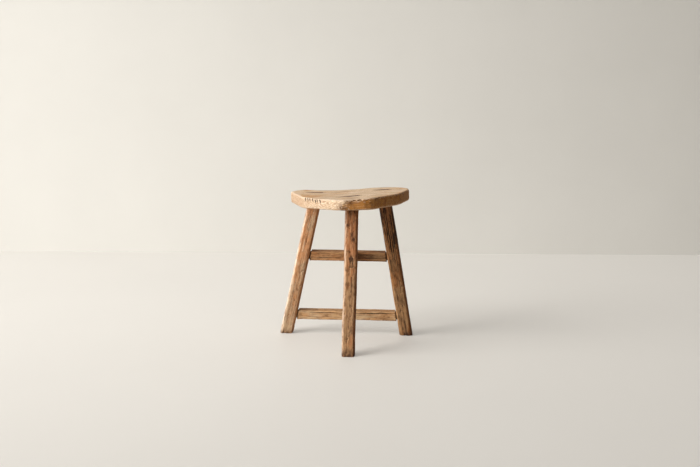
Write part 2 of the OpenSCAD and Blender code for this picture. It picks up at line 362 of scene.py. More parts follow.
def bar_solids(node, to_local):
    """The bar's body and its tenons as plain convex solids, with no mortises or kerfs in them."""
    co = local_vertices(node, to_local)
    half = np.abs(co[:, :2]).max(0)
    outermost = np.abs(co[:, :2]) > 0.93 * half
    if node in LEGS:
        in_body = outermost.any(1)
    else:
        in_body = outermost[:, 0 if node == "centre_stretcher" else thin_axis(co)]
    body = co[in_body]
    solids = [hull_mesh(body)]
    middle = (body[:, 2].min() + body[:, 2].max()) / 2
    reach = body[:, 2].max() - middle
    for end in (-1, 1):
        tenon = co[~in_body & ((co[:, 2] - middle) * end > 0.6 * reach)]
        if len(tenon) > 3:
            solids.append(hull_mesh(tenon))
    return solids


def joined(parts):
    """One mesh from several bmeshes, which are freed."""
    mesh = bpy.data.meshes.new("joined")
    whole = bmesh.new()
    for part in parts:
        part.to_mesh(mesh)
        whole.from_mesh(mesh)
        part.free()
    whole.to_mesh(mesh)
    whole.free()
    return mesh


def evaluated(thing):
    """The mesh of an object with its modifiers applied. The modifiers are then removed."""
    depsgraph = bpy.context.evaluated_depsgraph_get()
    mesh = bpy.data.meshes.new_from_object(thing.evaluated_get(depsgraph))
    thing.modifiers.clear()
    return mesh


def remeshed(mesh, voxel):
    """A solid's surface as an even net of small squares. Solids that overlap become one."""
    thing = bpy.data.objects.new("remesh", mesh)
    bpy.context.scene.collection.objects.link(thing)
    modifier = thing.modifiers.new("voxels", "REMESH")
    modifier.mode = "VOXEL"
    modifier.voxel_size = voxel
    modifier.adaptivity = 0
    result = evaluated(thing)
    bpy.data.objects.remove(thing)
    return result


def cut(thing, cutters):
    """Takes each cutter's solid out of the object. Both are in the local frame."""
    for mesh in cutters:
        cutter = bpy.data.objects.new("cutter", mesh)
        bpy.context.scene.collection.objects.link(cutter)
        modifier = thing.modifiers.new("cut", "BOOLEAN")
        modifier.operation = "DIFFERENCE"
        modifier.solver = "MANIFOLD"
        modifier.object = cutter
        thing.data = evaluated(thing)
        bpy.data.objects.remove(cutter)


def grown(bm, gap):
    """The solid with every face moved outward by the gap."""
    for vertex, shift in [(v, v.normal * v.calc_shell_factor() * gap) for v in bm.verts]:
        vertex.co += shift
    return bm


def cutter_mesh(parts):
    """Cutters take the second material slot, so the faces they leave inside cracks, cuts and gaps are
    painted dark, as painted shade.
    """
    mesh = joined(parts)
    for face in mesh.polygons:
        face.material_index = 1
    return mesh


JOINT_GAP = 0.25 * MM


def mortise_cutters(node, to_local):
    """What passes through the piece, grown by a hair, as solids to cut out of it."""
    cutters = []
    for other in THROUGH.get(node, ()):
        for solid in bar_solids(other, to_local_of(other)):
            solid.transform(to_local @ local_frame(other))
            solid.normal_update()
            cutters.append(cutter_mesh([grown(solid, JOINT_GAP)]))
    for wedge in WEDGE_OF.get(node, ()):
        cutters.append(cutter_mesh([grown(cad_bmesh(wedge, to_local), JOINT_GAP / 2)]))
    return cutters


_frames = {}


def local_frame(node):
    if node not in _frames:
        _frames[node] = seat_frame() if node == "seat" else bar_frame(node)
    return _frames[node]


def to_local_of(node):
    return local_frame(node).inverted()


def half_section(node):
    """Half the bar's width in x and in y."""
    return np.abs(local_vertices(node, to_local_of(node))[:, :2]).max(0)


def body_range(node):
    """Where the bar's full section starts and ends along its local z, without its tenons."""
    solids = bar_solids(node, to_local_of(node))
    heights = [v.co.z for v in solids[0].verts]
    for solid in solids:
        solid.free()
    return min(heights), max(heights)


class SeatRim:
    """The seat's outline, seen along its thickness, and the height of its top just inside the outline."""

    STEP = 2
    JUST_INSIDE = 7 * MM

    def __init__(self):
        bm = cad_bmesh("seat", to_local_of("seat"))
        tree = BVHTree.FromBMesh(bm)
        co = np.array([v.co for v in bm.verts])
        bm.free()
        self.top = co[:, 1].max()
        self.middle = np.array([co[:, 0].mean(), co[:, 2].mean()])
        self.angles = np.radians(np.arange(-180, 181, self.STEP))
        self.reach = np.zeros(len(self.angles))
        self.height = np.zeros(len(self.angles))
        for i, angle in enumerate(self.angles):
            away = np.array([math.sin(angle), 0, math.cos(angle)])
            centre = np.array([self.middle[0], self.top / 2, self.middle[1]])
            hit = tree.ray_cast(Vector(centre + away), Vector(-away))[0]
            self.reach[i] = np.linalg.norm(np.array(hit) - centre)
            inside = centre + away * (self.reach[i] - self.JUST_INSIDE) + np.array([0, 1, 0])
            self.height[i] = tree.ray_cast(Vector(inside), Vector((0, -1, 0)))[0].y

    def point(self, degrees):
        """The outline's x and z in this direction from the middle, and the height of the top there."""
        angle = math.radians(degrees)
        reach = np.interp(angle, self.angles, self.reach)
        return (self.middle[0] + math.sin(angle) * reach, self.middle[1] + math.cos(angle) * reach,
                np.interp(angle, self.angles, self.height))

    def angle_of(self, co):
        return np.arctan2(co[:, 0] - self.middle[0], co[:, 2] - self.middle[1])

    def inset(self, co):
        """How far inside the outline each point is."""
        reach = np.interp(self.angle_of(co), self.angles, self.reach)
        return reach - np.linalg.norm(co[:, [0, 2]] - self.middle, axis=1)

    def drop(self, co):
        """How far below the top at the outline each point is."""
        return np.interp(self.angle_of(co), self.angles, self.height) - co[:, 1]

    def from_arris(self, co):
        """How far each point is from the top arris."""
        return np.hypot(np.maximum(self.inset(co), 0), np.maximum(self.drop(co), 0))


RIM = SeatRim()
# The side of the seat that is its top, in its local frame, and how high the top reaches.
SEAT_UP = (0, 1)
SEAT_TOP = RIM.top
# Where the blunt front corner is, in degrees as RIM.point takes them. The front is at -90, and the left is
# beyond it.
CORNER_ANGLE = -92.5

# ---- Cracks ----


def crack_solid(out, surface, offset, start, end, width, depth, seed):
    """A thin blade, pointed at both ends, that opens a crack along the grain. It lies in the side that
    faces out, a unit vector across the grain, at the given distance from the axis and sideways offset.
    It drifts sideways in long and short waves, and it stands a little proud of the side."""
    out = np.array([*out, 0.0])
    side = np.cross([0, 0, 1], out)
    steps = max(8, int(abs(end - start) / (4 * MM)))
    along = np.linspace(start, end, steps + 1)
    where = np.stack([along, along * 0 + seed * 3.7, along * 0 + 0.5], 1)
    long_wave = 1.6 * noise(where / [0.035, 1, 1], seed)
    short_wave = 0.4 * noise(where / [0.009, 1, 1], seed + 1)
    drift = (long_wave + short_wave) * MM
    swell = 1 + 0.5 * noise(where / [0.012, 1, 1], seed + 2)
    lift = 2.5 * MM
    bm = bmesh.new()
    rings = []
    for i, z in enumerate(along):
        centre = out * surface + side * (offset + drift[i]) + np.array([0, 0, z])
        if i in (0, steps):
            rings.append([bm.verts.new(centre)] * 3)
            continue
        opened = math.sin(math.pi * i / steps) ** 0.6 * swell[i]
        bottom = depth * opened
        half = width / 2 * opened * (1 + lift / max(bottom, 0.5 * MM))
        rings.append([bm.verts.new(centre + out * lift - side * half),
                      bm.verts.new(centre + out * lift + side * half),
                      bm.verts.new(centre - out * bottom + side * drift[i] * 0.3)])
    for low, high in zip(rings, rings[1:]):
        for a in range(3):
            b = (a + 1) % 3
            corners = list(dict.fromkeys([low[a], low[b], high[b], high[a]]))
            if len(corners) > 2:
                bm.faces.new(corners)
    bmesh.ops.recalc_face_normals(bm, faces=bm.faces)
    return bm


def scattered_cracks(node, seed, count):
    """Thin cracks spread over the four sides of a bar."""
    low, high = body_range(node)
    half = half_section(node)
    random = np.random.default_rng(seed)
    blades = []
    for out in (FRONT, RIGHT, BACK, LEFT):
        surface, across = (half[0], half[1]) if out[0] else (half[1], half[0])
        width = across * 1.1
        for lane in random.permutation(count):
            length = random.uniform(0.10, 0.38) * (high - low)
            start = random.uniform(low + 0.03 * (high - low), high - length - 6 * MM)
            offset = ((lane + random.uniform(0.25, 0.75)) / count - 0.5) * width
            blades.append(crack_solid(out, surface, offset, start, start + length,
                                      random.uniform(0.6, 1.3) * MM, random.uniform(2.0, 5.0) * MM,
                                      seed * 10 + len(blades)))
    return blades


# ---- Weathering ----


def spots(co, places, stretch=0.6):
    """How strongly each point lies in one of the spots (x, y, z, radius), 1 in the middle. The spots are
    longer along the grain and have ragged edges."""
    ragged = 1 + 0.45 * grain_noise(co, 3 * MM, 9 * MM, 91)
    total = np.zeros(len(co))
    for x, y, z, radius in places:
        away = np.linalg.norm((co - np.array([x, y, z])) * np.array([1, 1, stretch]), axis=1)
        total = np.maximum(total, np.exp(-(away / radius * ragged) ** 2))
    return total


def worn_edges(mesh, rounds, weight):
    """Rounds the mesh's edges. Returns the new vertices, and how much of an edge each one is on."""
    co = vertices(mesh)
    soft = relaxed(mesh, co, rounds, weight)
    moved = np.linalg.norm(soft - co, axis=1)
    set_vertices(mesh, soft)
    return soft, smooth_step(0.15 * MM, 0.9 * MM, moved)


def weathered_bar(node, voxel, strength, seed, knots_and_shade_spots, notches):
    """A leg or a stretcher in its local frame: rounded, hewn, dented and raised along the grain. The ends
    where it meets another piece are left nearly square. Heights are in millimetres."""
    mesh = remeshed(joined(bar_solids(node, to_local_of(node))), voxel)
    z = vertices(mesh)[:, 2]
    body_low, body_high = body_range(node)
    inset = body_high - z if node in LEGS else np.minimum(z - body_low, body_high - z)
    free = smooth_step(2 * MM, 12 * MM, inset)
    rounds = round(7 * strength * (MM / voxel) ** 2) + 2
    co, edge = worn_edges(mesh, rounds, 0.15 + 0.85 * free)
    normal = vertex_normals(mesh)
    height = (0.45 * grain_noise(co, 17 * MM, 120 * MM, seed)
              + 0.34 * grain_noise(co, 6 * MM, 42 * MM, seed + 1)
              - 0.30 * np.abs(grain_noise(co, 3.2 * MM, 75 * MM, seed + 2))
              + 0.07 * grain_noise(co, 1.8 * MM, 9 * MM, seed + 3, 1)) * strength
    nick = smooth_step(0.10, 0.65, grain_noise(co, 9 * MM, 15 * MM, seed + 4))
    bruise = smooth_step(0.25, 0.8, grain_noise(co, 9 * MM, 12 * MM, seed + 5))
    height -= (1.7 * nick * edge + 0.8 * bruise) * strength
    height -= 0.8 * spots(co, knots_and_shade_spots) + 2.2 * spots(co, notches)
    co = co + normal * (height * MM * (0.25 + 0.75 * free))[:, None]
    sway = np.stack([grain_noise(np.stack([z * 0, z * 0 + i, z], 1), 1, 160 * MM, seed + 6 + i, 1)
                     for i in range(2)], axis=1) * 0.8 * MM * strength
    between_ends = smooth_step(0, 40 * MM, inset) * smooth_step(0, 30 * MM, z - z.min())
    co[:, :2] += sway * between_ends[:, None]
    set_vertices(mesh, co)
    return mesh


def weathered_seat(voxel, seed):
    """The seat slab in its local frame, with its mortises still filled. Heights are in millimetres."""
    to_local = to_local_of("seat")
    fillings = []
    for leg in LEGS:
        for solid in bar_solids(leg, to_local_of(leg))[1:]:
            solid.transform(to_local @ local_frame(leg))
            fillings.append(solid)
    mesh = remeshed(joined([cad_bmesh("seat", to_local)] + fillings), voxel)
    co, edge = worn_edges(mesh, 11, np.ones(len(mesh.vertices)))
    normal = vertex_normals(mesh)
    up = np.clip(normal[:, 1], 0, 1)
    down = np.clip(-normal[:, 1], 0, 1)
    side = 1 - np.abs(normal[:, 1])
    height = (up * (0.35 * grain_noise(co, 34 * MM, 90 * MM, seed)
                    + 0.22 * grain_noise(co, 9 * MM, 60 * MM, seed + 1)
                    - 0.34 * np.abs(grain_noise(co, 4.2 * MM, 110 * MM, seed + 2)))
              - down * (1.1 * np.abs(grain_noise(co, 30 * MM, 38 * MM, seed + 3))
                        + 0.35 * np.abs(grain_noise(co, 6 * MM, 70 * MM, seed + 4)))
              + side * (0.75 * grain_noise(co, 22 * MM, 26 * MM, seed + 5)
                        + 0.50 * grain_noise(co, 6 * MM, 8 * MM, seed + 6) - 0.5))
    nick = smooth_step(0.1, 0.7, grain_noise(co, 12 * MM, 16 * MM, seed + 7))
    height -= 1.4 * nick * edge + 1.6 * seat_decay(co)
    set_vertices(mesh, co + normal * (height * MM)[:, None])
    return mesh


def seat_decay(co):
    """Where the seat's front edge has crumbled: a row of pits along the top arris of its right half, and a
    patch low on the blunt front corner."""
    ragged = 1 + 0.4 * grain_noise(co, 5 * MM, 12 * MM, 70)
    arris = smooth_step(8 * MM, 3.5 * MM, RIM.from_arris(co) * ragged)
    place = smooth_step(-0.008, 0.004, co[:, 2]) * smooth_step(0.125, 0.080, co[:, 2]) * (co[:, 0] < 0)
    pits = smooth_step(0.05, 0.35, grain_noise(co, 7 * MM, 13 * MM, 71))
    corner_x, corner_z, _ = RIM.point(CORNER_ANGLE)
    corner = spots(co, [(corner_x, 8 * MM, corner_z, 11 * MM)])
    crumbs = smooth_step(-0.45, 0.10, grain_noise(co, 4.5 * MM, 7 * MM, 72))
    return np.clip(0.9 * arris * place * pits + 0.6 * corner * crumbs, 0, 1)


def gouges(count, seed):
    """A row of short, nearly parallel cuts below the top arris of the seat's left front, as cutters."""
    first_angle = -140
    row_angle = 24
    random = np.random.default_rng(seed)
    blades = []
    for i in range(count):
        angle = first_angle + row_angle * (i + random.uniform(-0.2, 0.2)) / count
        rim_x, rim_z, height = RIM.point(angle)
        away = Vector((rim_x - RIM.middle[0], 0, rim_z - RIM.middle[1])).normalized()
        length = random.uniform(11, 21) * MM
        blade = crack_solid((0, 1), 0, 0, -length / 2, length / 2, random.uniform(2.6, 3.8) * MM,
                            random.uniform(2.5, 4.0) * MM, seed + i)
        # The blade's z runs down the side and leans a little, and its y faces outward and a little up.
        outward = (away + Vector((0, 0.35, 0))).normalized()
        across = outward.cross((0, -1, 0)).normalized()
        down = (across.cross(outward) + across * random.uniform(0.20, 0.36)).normalized()
        across = outward.cross(down)
        turn = Matrix((across, outward, down)).transposed()
        place = Vector((rim_x, height - random.uniform(6, 11) * MM, rim_z))
        blade.transform(Matrix.Translation(place) @ turn.to_4x4())
        blade.normal_update()
        blades.append(blade)
    return blades


def weathered_wedge(node, seed):
    """A wedge, a little broken at its edges."""
    mesh = remeshed(joined([cad_bmesh(node, to_local_of(node))]), 0.4 * MM)
    co = relaxed(mesh, vertices(mesh), 3, np.ones(len(mesh.vertices)))
    set_vertices(mesh, co)
    height = 0.12 * grain_noise(co, 1.5 * MM, 12 * MM, seed) - 0.12
    set_vertices(mesh, co + vertex_normals(mesh) * (height * MM)[:, None])
    return mesh


# ---- Wood ----


class Graph:
    """Short ways to add linked shader nodes to one material."""

    def __init__(self, name):
        self.material = bpy.data.materials.new(name)
        self.material.use_nodes = True
        self.nodes = self.material.node_tree.nodes
        self.links = self.material.node_tree.links
        self.shader = self.nodes["Principled BSDF"]

    def put(self, socket, value):
        if isinstance(value, bpy.types.NodeSocket):
            self.links.new(value, socket)
        else:
            socket.default_value = value

    def math(self, operation, a, b=0.5, clamp=False):
        node = self.nodes.new("ShaderNodeMath")
        node.operation = operation
        node.use_clamp = clamp
        self.put(node.inputs[0], a)
        self.put(node.inputs[1], b)
        return node.outputs[0]

    def vector_math(self, operation, a, b):
        node = self.nodes.new("ShaderNodeVectorMath")
        node.operation = operation
        self.put(node.inputs[0], a)
        self.put(node.inputs[1], b)
        return node.outputs["Value" if operation == "DOT_PRODUCT" else "Vector"]

    def noise(self, vector, scale, detail=3, roughness=0.5):
        node = self.nodes.new("ShaderNodeTexNoise")
        self.put(node.inputs["Vector"], vector)
        node.inputs["Scale"].default_value = scale
        node.inputs["Detail"].default_value = detail
        node.inputs["Roughness"].default_value = roughness
        return node.outputs["Fac"]

    def rise(self, value, low, high):
        """0 below low and 1 above high, or the other way round if low is the higher."""
        node = self.nodes.new("ShaderNodeMapRange")
        node.interpolation_type = "SMOOTHSTEP"
        self.put(node.inputs["Value"], value)
        node.inputs["From Min"].default_value = low
        node.inputs["From Max"].default_value = high
        return node.outputs["Result"]

    def attribute(self, name):
        node = self.nodes.new("ShaderNodeAttribute")
        node.attribute_name = name
        return node.outputs["Fac"]

    def mix(self, factor, a, b, blend="MIX"):
        node = self.nodes.new("ShaderNodeMix")
        node.data_type = "RGBA"
        node.blend_type = blend
        self.put(node.inputs["Factor"], factor)
        for socket, value in ((node.inputs[6], a), (node.inputs[7], b)):
            self.put(socket, value if isinstance(value, bpy.types.NodeSocket) else (*value, 1))
        return node.outputs[2]


# The gap between the rings of Blender's wave texture at scale 1.
WAVE_RING_GAP = 0.314


def wood(name, node, tones, seed, ring_gap=3.2 * MM, pith=(0.05, 0.03), shade=1.0):
    """Dry old wood whose rings and fibres follow the node's local frame, so end grain shows at the ends.
    The pith that the rings lie round is this far from the piece's axis, towards -x and -y."""
    deep, warm, dry, pale, shaded_tone, lit_tone = (
        tones[key] for key in ("deep", "warm", "dry", "pale", "shaded_tone", "lit_tone"))
    marked = tones["marked"]
    g = Graph(name)
    to_local = to_local_of(node)
    mapping = g.nodes.new("ShaderNodeMapping")
    g.put(mapping.inputs["Vector"], g.nodes.new("ShaderNodeTexCoord").outputs["Object"])
    mapping.inputs["Location"].default_value = to_local.translation
    mapping.inputs["Rotation"].default_value = to_local.to_euler("XYZ")
    local = mapping.outputs["Vector"]
    seeded = (seed * 1.37, seed * 0.71, seed * 2.13)

    def stretched(vector, along):
        return g.vector_math("MULTIPLY", g.vector_math("ADD", vector, seeded), (1, 1, along))

    # The grain wanders a little.
    bend = g.math("MULTIPLY", g.math("SUBTRACT", g.noise(stretched(local, 0.22), 14), 0.5), 0.020)
    waver = g.math("MULTIPLY", g.math("SUBTRACT", g.noise(stretched(local, 0.3), 60), 0.5), 0.0035)
    sideways = g.nodes.new("ShaderNodeCombineXYZ")
    g.put(sideways.inputs[0], g.math("ADD", bend, waver))
    g.put(sideways.inputs[1], g.math("ADD", bend, waver))
    flow = g.vector_math("ADD", local, sideways.outputs[0])

    rings_at = g.vector_math("ADD", g.vector_math("MULTIPLY", flow, (1, 1, 0.05)), (pith[0], pith[1], 0))
    wave = g.nodes.new("ShaderNodeTexWave")
    wave.wave_type = "RINGS"
    wave.rings_direction = "Z"
    g.put(wave.inputs["Vector"], rings_at)
    wave.inputs["Scale"].default_value = WAVE_RING_GAP / ring_gap
    wave.inputs["Distortion"].default_value = 1.8
    wave.inputs["Detail"].default_value = 2
    wave.inputs["Detail Scale"].default_value = 0.6
    early = g.rise(wave.outputs["Fac"], 0.45, 0.95)

    parts = g.nodes.new("ShaderNodeSeparateXYZ")
    g.put(parts.inputs[0], local)
    low_down = g.math("SUBTRACT", g.rise(parts.outputs["Z"], 0.34, 0.08), 0.5)
    patch_noise = g.noise(stretched(local, 0.4), 26, 3, 0.6)
    patch = g.math("ADD", patch_noise, g.math("MULTIPLY", low_down, tones["low_dry"]))
    streak = g.noise(stretched(flow, tones["streak_run"]), 190, 4, 0.62)
    pale_streak = g.noise(stretched(flow, 0.09), 240, 3, 0.6)
    mottle = g.noise(stretched(flow, 0.40), 140, 4, 0.65)
    fibre = g.noise(stretched(flow, 0.03), 900, 3, 0.65)
    fleck = g.noise(stretched(flow, 0.07), 1500, 2)
    check = g.noise(stretched(flow, 0.03), 230, 3, 0.7)

    # Warm and dry patches, the painted shade and painted light of the sides turned from and towards the
    # light, then dark streaks and pale rubbed streaks that are partly painted highlight on the lit side,
    # rings and fibres.
    # Painted light and shade: the attribute says how far each side faces the light. The side turned away is
    # painted the darker ruddy tone, and the side facing it the lighter tone.
    drift = g.math("MULTIPLY", g.math("SUBTRACT", patch_noise, 0.5), 0.8)
    painted_light = g.math("ADD", g.attribute("painted_light"), drift)
    colour = g.mix(g.rise(patch, 0.40, 0.60), warm, dry)
    colour = g.mix(g.math("MULTIPLY", g.rise(painted_light, 0.08, -0.40), 0.9), colour, shaded_tone)
    colour = g.mix(g.math("MULTIPLY", g.rise(painted_light, 0.30, 0.70), 0.85), colour, lit_tone)
    colour = g.mix(g.math("MULTIPLY", g.rise(streak, 0.50, 0.66), 0.80 * marked), colour, deep)
    # Pale streaks along the grain, painted stronger on the side that faces the light: partly grain, partly
    # painted highlight.
    pale_streak = g.math("MULTIPLY", g.rise(pale_streak, 0.52, 0.68), g.math("ADD", g.rise(painted_light, -0.4, 0.3), 0.15))
    colour = g.mix(g.math("MULTIPLY", pale_streak, 0.55), colour, pale)
    colour = g.mix(g.math("MULTIPLY", g.rise(mottle, 0.54, 0.70), 0.60 * marked), colour, deep)
    colour = g.mix(g.math("MULTIPLY", early, 0.22), colour, deep)
    colour = g.mix(g.math("MULTIPLY", g.rise(fibre, 0.45, 0.75), 0.35), colour, deep)

    # Open pores and hairline checks hold dirt.
    dark = tuple(c * 0.16 for c in deep)
    grime = tuple(c * 0.42 for c in deep)
    pore = g.math("MULTIPLY", g.rise(fleck, 0.60, 0.72), g.math("ADD", g.math("MULTIPLY", early, 0.7), 0.3))
    colour = g.mix(g.math("MULTIPLY", pore, 0.55), colour, dark)
    hairline = g.rise(check, 0.62, 0.68)
    colour = g.mix(g.math("MULTIPLY", hairline, 0.7 * marked), colour, dark)

    # Stains, hollows and end grain are dark, and rubbed ridges are pale.
    relief = g.attribute("relief")
    colour = g.mix(g.math("MULTIPLY", g.rise(relief, -0.05, -0.40), 0.70), colour, grime)
    colour = g.mix(g.math("MULTIPLY", g.rise(relief, 0.08, 0.35), 0.55 * marked), colour, pale)
    stain = g.math("MULTIPLY", g.attribute("stain"), g.math("ADD", g.rise(mottle, 0.3, 0.6), 0.45), True)
    colour = g.mix(g.math("MULTIPLY", stain, 0.9), colour, grime)
    geometry = g.nodes.new("ShaderNodeNewGeometry")
    grain_direction = tuple(local_frame(node).to_3x3().col[2])
    facing = g.math("ABSOLUTE", g.vector_math("DOT_PRODUCT", geometry.outputs["Normal"], grain_direction))
    colour = g.mix(g.math("MULTIPLY", g.rise(facing, 0.6, 0.95), tones["end_grain"]), colour, deep)
    # The inside of cracks, cuts and gaps is painted in shade by this factor.
    if shade != 1.0:
        colour = g.mix(1.0, colour, (shade, shade, shade), "MULTIPLY")
    g.put(g.shader.inputs["Base Color"], colour)

    g.put(g.shader.inputs["Roughness"], g.math("ADD", g.math("MULTIPLY", fibre, 0.25), 0.62, True))
    g.shader.inputs["Specular IOR Level"].default_value = 0.25
    height = g.math("ADD", g.math("MULTIPLY", fibre, 0.6), g.math("MULTIPLY", streak, -0.7))
    for part, amount in ((pore, 0.35), (hairline, 0.7), (early, 0.15), (mottle, 0.5)):
        height = g.math("SUBTRACT", height, g.math("MULTIPLY", part, amount))
    bump = g.nodes.new("ShaderNodeBump")
    bump.inputs["Strength"].default_value = 0.8
    bump.inputs["Distance"].default_value = 0.9 * MM
    g.put(bump.inputs["Height"], height)
    g.links.new(bump.outputs["Normal"], g.shader.inputs["Normal"])
    return g.material


# ---- The pieces ----


# Painted light and shade: the sides that look this way are painted in a lighter tone, as if lit, and the
# sides turned away from it keep a darker, ruddier tone, as if in shade.
SUNNY_SIDE = Vector((-0.80, -0.05, 0.60))
SEAT_SUNNY_SIDE = Vector((-2.4, 0.35, 0.5))


def relaxed_values(mesh, values, rounds):
    """One number for each vertex, evened out over the mesh."""
    spread = relaxed(mesh, np.repeat(values[:, None], 3, axis=1), rounds, np.ones(len(values)))
    return spread[:, 0]


def add_attribute(mesh, name, values):
    attribute = mesh.attributes.new(name, "FLOAT", "POINT")
    attribute.data.foreach_set("value", np.ascontiguousarray(values, dtype=np.float32))


def finish_piece(name, node, mesh, cutters, materials, stain):
    """Cuts the piece, marks its hollows, ridges, stains and the painted light and shade of its sides, takes
    it to its place, keeps it off the floor and hands it over."""
    thing = bpy.data.objects.new(name, mesh)
    bpy.context.scene.collection.objects.link(thing)
    for holder in [mesh] + cutters:
        for material in materials:
            holder.materials.append(material)
    cut(thing, cutters)
    mesh = thing.data
    co = vertices(mesh)
    smooth = relaxed(mesh, co, 8, np.ones(len(co)))
    add_attribute(mesh, "relief", np.sum((co - smooth) * vertex_normals(mesh), axis=1) / MM)
    add_attribute(mesh, "stain", stain(co))
    # Painted light and shade: how far each vertex faces the lit side, evened out, is stored for the wood to
    # paint its sides lighter and darker.
    sunny_side = SEAT_SUNNY_SIDE if node == "seat" else SUNNY_SIDE
    sunny = np.array(local_frame(node).to_3x3().transposed() @ sunny_side)
    add_attribute(mesh, "painted_light", relaxed_values(mesh, vertex_normals(mesh) @ sunny, 12))
    mesh.transform(local_frame(node))
    co = vertices(mesh)
    co[:, 2] = np.maximum(co[:, 2], 0)
    set_vertices(mesh, co)
    mesh.shade_smooth()
    mesh.set_sharp_from_angle(angle=math.radians(50))
    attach(thing, "root")
    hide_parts(node)


# Each wood has the colours of its dark streaks (deep), its warm and dry patches, its rubbed places and pale
# streaks (pale), and the painted shade and painted light of its sides turned from and towards the light, in
# a darker ruddy tone and a lighter tone. The strength of its dark marks is marked, and that of its dark end
# grain is end_grain. A small streak_run makes long streaks, and low_dry is how much drier it looks low down.
LEFT_LEG_TONES = dict(deep=srgb(120, 80, 48), warm=srgb(197, 140, 95), dry=srgb(184, 154, 121),
                      pale=srgb(226, 202, 174), shaded_tone=srgb(178, 122, 76), lit_tone=srgb(232, 211, 190),
                      marked=0.8, end_grain=0.7, streak_run=0.08, low_dry=0.24)
FRONT_LEG_TONES = dict(deep=srgb(92, 52, 26), warm=srgb(176, 116, 72), dry=srgb(164, 126, 88),
                       pale=srgb(206, 164, 122), shaded_tone=srgb(134, 84, 46), lit_tone=srgb(200, 173, 150),
                       marked=0.85, end_grain=0.7, streak_run=0.18, low_dry=0.24)
RIGHT_LEG_TONES = dict(deep=srgb(58, 32, 13), warm=srgb(172, 114, 66), dry=srgb(162, 122, 82),
                       pale=srgb(198, 156, 112), shaded_tone=srgb(128, 76, 36), lit_tone=srgb(152, 108, 66),
                       marked=1.0, end_grain=0.7, streak_run=0.07, low_dry=0.20)
UPPER_TONES = dict(deep=srgb(86, 50, 25), warm=srgb(184, 126, 78), dry=srgb(176, 134, 92),
                   pale=srgb(200, 158, 116), shaded_tone=srgb(128, 78, 38), lit_tone=srgb(166, 124, 84),
                   marked=0.85, end_grain=0.5, streak_run=0.08, low_dry=0)
LOWER_TONES = dict(deep=srgb(114, 76, 44), warm=srgb(206, 158, 110), dry=srgb(204, 170, 130),
                   pale=srgb(220, 192, 158), shaded_tone=srgb(146, 98, 58), lit_tone=srgb(168, 124, 80),
                   marked=0.72, end_grain=0.6, streak_run=0.08, low_dry=0)
CENTRE_TONES = dict(UPPER_TONES, marked=0.6, end_grain=0.1)
SEAT_TONES = dict(deep=srgb(124, 76, 34), warm=srgb(201, 151, 97), dry=srgb(217, 186, 147),
                  pale=srgb(236, 218, 196), shaded_tone=srgb(170, 112, 44), lit_tone=srgb(210, 187, 160),
                  marked=0.7, end_grain=0.25, streak_run=0.04, low_dry=0)
WEDGE_TONES = dict(deep=srgb(52, 32, 20), warm=srgb(96, 62, 38), dry=srgb(108, 80, 56),
                   pale=srgb(140, 108, 78), shaded_tone=srgb(84, 54, 32), lit_tone=srgb(116, 86, 60),
                   marked=0.8, end_grain=0.5, streak_run=0.08, low_dry=0)


def bar_stain(node, seed, knots_and_shade_spots, blotched, streaks_and_shadow_from, dark, end_dirt_and_shade):
    """How stained each point is: ends darkened by dirt and by painted shade where they meet another piece,
    knots and spots of painted shade, blotches, and dark streaks beyond a given point along the piece, which
    on the stretchers are painted shadow of the front leg.
    """
    low, high = body_range(node)

    def stain(co):
        z = co[:, 2]
        ragged = 5 * MM * grain_noise(co, 5 * MM, 25 * MM, seed + 51)
        total = spots(co, knots_and_shade_spots)
        # Darker ends where the piece meets another: partly dirt, partly painted shade in the joint and under
        # the seat.
        total = np.maximum(total, end_dirt_and_shade * smooth_step(high - 7 * MM, high - 2 * MM, z + ragged))
        if node in LEGS:
            total = np.maximum(total, 0.75 * smooth_step(30 * MM, 6 * MM, z + 2 * ragged))
        else:
            total = np.maximum(total, end_dirt_and_shade * smooth_step(low + 7 * MM, low + 2 * MM, z + ragged))
        blotches = smooth_step(0.10, 0.60, grain_noise(co, 8 * MM, 16 * MM, seed + 53))
        total = np.maximum(total, blotched * blotches)
        streaks = smooth_step(-0.20, 0.30, grain_noise(co, 4.2 * MM, 95 * MM, seed + 52))
        # Darker beyond a point along the piece: dark streaks on the right leg, painted shadow of the front
        # leg on the stretchers.
        streaks_and_shadow = smooth_step(streaks_and_shadow_from, streaks_and_shadow_from + 40 * MM, z + 2 * ragged)
        return np.maximum(total, dark * streaks_and_shadow * (0.2 + 0.8 * streaks))
    return stain


def make_bar(node, tones, voxel, strength, seed, scattered, cracks=(), knots_and_shade_spots=(), notches=(),
             blotched=0.3, streaks_and_shadow_from=1.0, dark=0.0, end_dirt_and_shade=0.95):
    """Makes a leg or a stretcher, with this many scattered cracks in each side and the cracks listed. A
    crack is (out, offset, start, end, width, depth), as crack_solid takes them."""
    mesh = weathered_bar(node, voxel, strength, seed, knots_and_shade_spots, notches)
    half = half_section(node)
    blades = scattered_cracks(node, seed, scattered)
    for i, (out, offset, start, end, width, depth) in enumerate(cracks):
        surface = half[0] if out[0] else half[1]
        blades.append(crack_solid(out, surface, offset, start, end, width, depth, seed * 7 + i))
    cutters = [cutter_mesh([blade]) for blade in blades] + mortise_cutters(node, to_local_of(node))
    surface = wood(node + "_wood", node, tones, seed)
    inside = wood(node + "_crack_wood", node, tones, seed, shade=0.12)
    finish_piece("worn_" + node, node, mesh, cutters, [surface, inside],
                 bar_stain(node, seed, knots_and_shade_spots, blotched, streaks_and_shadow_from, dark, end_dirt_and_shade))


def unstained(co):
    return np.zeros(len(co))


def make_wedges(node, seed):
    """Makes the wedges in the node's tenons."""
    for i, wedge in enumerate(WEDGE_OF[node]):
        mesh = weathered_wedge(wedge, seed + i)
        surface = wood(wedge + "_wood", wedge, WEDGE_TONES, seed + i, ring_gap=1.4 * MM)
        finish_piece("worn_" + wedge, wedge, mesh, [], [surface], unstained)


